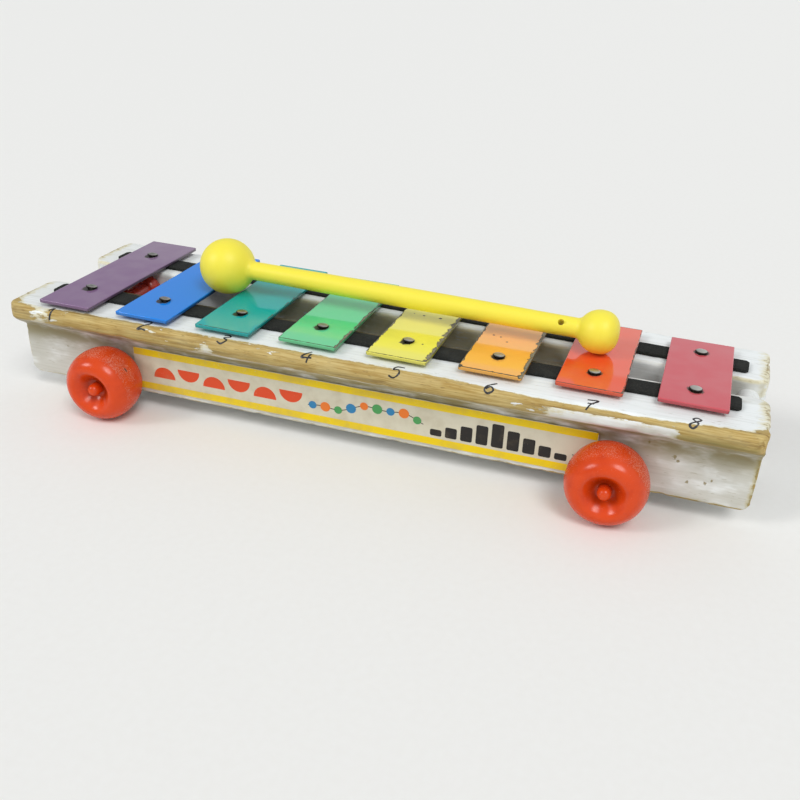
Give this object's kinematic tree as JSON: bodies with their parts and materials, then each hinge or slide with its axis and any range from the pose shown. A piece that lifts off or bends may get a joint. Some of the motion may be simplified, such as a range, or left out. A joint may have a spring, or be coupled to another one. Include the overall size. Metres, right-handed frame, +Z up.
{
  "type": "toy xylophone",
  "caption": "Pull-along toy xylophone: coloured metal bars over felt on two splayed wooden rails with wheels, and a two-ended mallet.",
  "frame": {"origin": "on the floor, under the middle of the toy's bounding box", "axes": "+X towards the narrow end with the shortest bar, +Y towards the side with no label, +Z up"},
  "size_m": [0.432, 0.157, 0.0975],
  "materials": {
    "white_paint": "brushed white paint, worn to bare wood at the edges",
    "black_felt": "matted felt",
    "nail_steel": "dull domed",
    "red_plastic": "scuffed gloss",
    "red_wood": "red lacquer",
    "printed_paper": "printed, rubbed",
    "yellow_plastic": "scuffed satin",
    "bar_enamel_1": "glossy violet enamel, scratched",
    "bar_enamel_2": "glossy blue enamel, scratched",
    "bar_enamel_3": "glossy teal enamel, scratched",
    "bar_enamel_4": "glossy green enamel, chipped",
    "bar_enamel_5": "glossy yellow enamel, chipped",
    "bar_enamel_6": "glossy orange enamel, chipped",
    "bar_enamel_7": "glossy orange-red enamel, scratched",
    "bar_enamel_8": "glossy crimson enamel, scratched"
  },
  "bodies": {
    "frame": {"front_rail": "white_paint", "back_rail": "white_paint", "front_felt": "black_felt", "back_felt": "black_felt", "bar_1": "bar_enamel_1", "bar_2": "bar_enamel_2", "bar_3": "bar_enamel_3", "bar_4": "bar_enamel_4", "bar_5": "bar_enamel_5", "bar_6": "bar_enamel_6", "bar_7": "bar_enamel_7", "bar_8": "bar_enamel_8", "front_nail_1": "nail_steel", "front_nail_2": "nail_steel", "front_nail_3": "nail_steel", "front_nail_4": "nail_steel", "front_nail_5": "nail_steel", "front_nail_6": "nail_steel", "front_nail_7": "nail_steel", "front_nail_8": "nail_steel", "back_nail_1": "nail_steel", "back_nail_2": "nail_steel", "back_nail_3": "nail_steel", "back_nail_4": "nail_steel", "back_nail_5": "nail_steel", "back_nail_6": "nail_steel", "back_nail_7": "nail_steel", "back_nail_8": "nail_steel", "front_wide_axle_pin": "red_plastic", "front_narrow_axle_pin": "red_plastic", "back_wide_axle_pin": "red_plastic", "back_narrow_axle_pin": "red_plastic", "narrow_end_dowel": "white_paint", "wide_end_spool": "red_wood", "front_label": "printed_paper"},
    "front_wide_wheel": {"front_wide_wheel": "red_plastic"},
    "front_narrow_wheel": {"front_narrow_wheel": "red_plastic"},
    "back_wide_wheel": {"back_wide_wheel": "red_plastic"},
    "back_narrow_wheel": {"back_narrow_wheel": "red_plastic"},
    "mallet": {"mallet": "yellow_plastic"}
  },
  "joints": [
    {"name": "front_wide_wheel_spin", "type": "hinge", "parent": "frame", "child": "front_wide_wheel", "pos_m": [-0.15091, -0.06518, 0.0216], "axis": [0.0243, -0.9997, 0], "continuous": true},
    {"name": "front_narrow_wheel_spin", "type": "hinge", "parent": "frame", "child": "front_narrow_wheel", "pos_m": [0.1454, -0.05799, 0.0216], "axis": [0.0243, -0.9997, 0], "continuous": true},
    {"name": "back_wide_wheel_spin", "type": "hinge", "parent": "frame", "child": "back_wide_wheel", "pos_m": [-0.15091, 0.06518, 0.0216], "axis": [0.0243, 0.9997, 0], "continuous": true},
    {"name": "back_narrow_wheel_spin", "type": "hinge", "parent": "frame", "child": "back_narrow_wheel", "pos_m": [0.1454, 0.05799, 0.0216], "axis": [0.0243, 0.9997, 0], "continuous": true},
    {"name": "mallet_lift", "type": "slide", "parent": "frame", "child": "mallet", "axis": [0, 0, 1], "range_m": [0, 0.15]}
  ]
}
